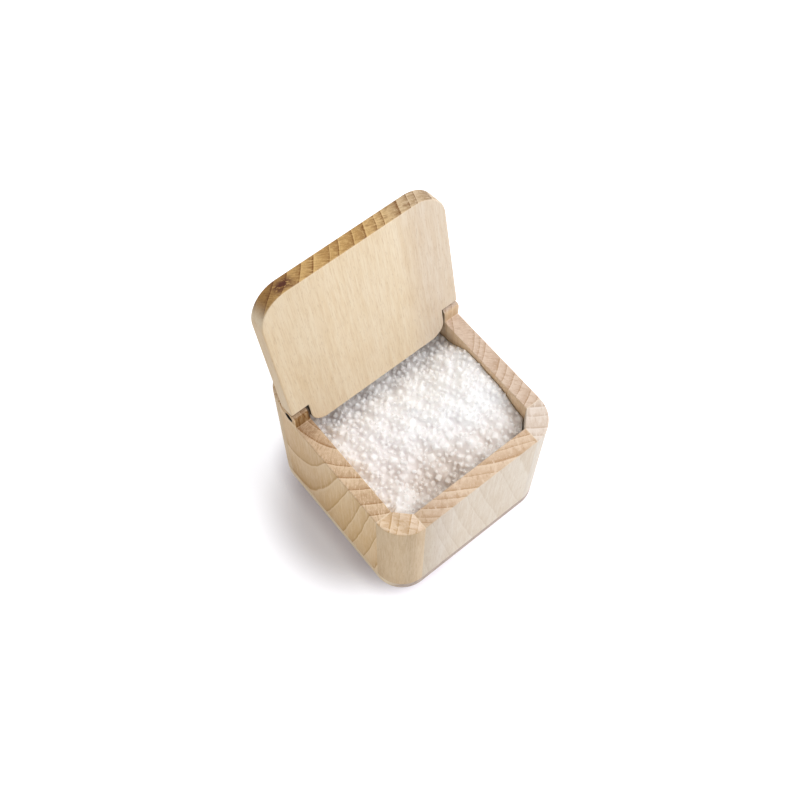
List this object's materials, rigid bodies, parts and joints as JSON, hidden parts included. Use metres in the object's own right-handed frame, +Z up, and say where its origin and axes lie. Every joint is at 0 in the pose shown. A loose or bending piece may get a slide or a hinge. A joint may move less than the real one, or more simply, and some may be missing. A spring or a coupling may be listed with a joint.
{
  "type": "salt box with hinged lid",
  "caption": "Square wooden salt box glued up from boards and corner posts, with a flush lid that turns on pins between two ears and leans open on them.",
  "frame": {"origin": "centre of the flat bottom of the box, on the surface it stands on", "axes": "+X along the hinge to the right seen from the front, +Y to the back where the hinge is, +Z up"},
  "size_m": [0.1, 0.104, 0.1647],
  "materials": {
    "beech_wall": "sanded and oiled, satin",
    "beech_post": "sanded and oiled, satin",
    "beech_base": "sanded and oiled, satin",
    "beech_lid": "sanded and oiled, satin",
    "pin_steel": "plain turned steel"
  },
  "bodies": {
    "box": {"base_plate": "beech_base", "front_wall": "beech_wall", "back_wall": "beech_wall", "left_wall": "beech_wall", "right_wall": "beech_wall", "front_left_post": "beech_post", "front_right_post": "beech_post", "rear_left_post": "beech_post", "rear_right_post": "beech_post", "left_hinge_pin": "pin_steel", "right_hinge_pin": "pin_steel"},
    "lid": {"lid": "beech_lid"}
  },
  "joints": [
    {"name": "lid_hinge", "type": "hinge", "parent": "box", "child": "lid", "pos_m": [0, 0.0291, 0.0845], "axis": [1, 0, 0], "range_deg": [0, 101.8]}
  ]
}
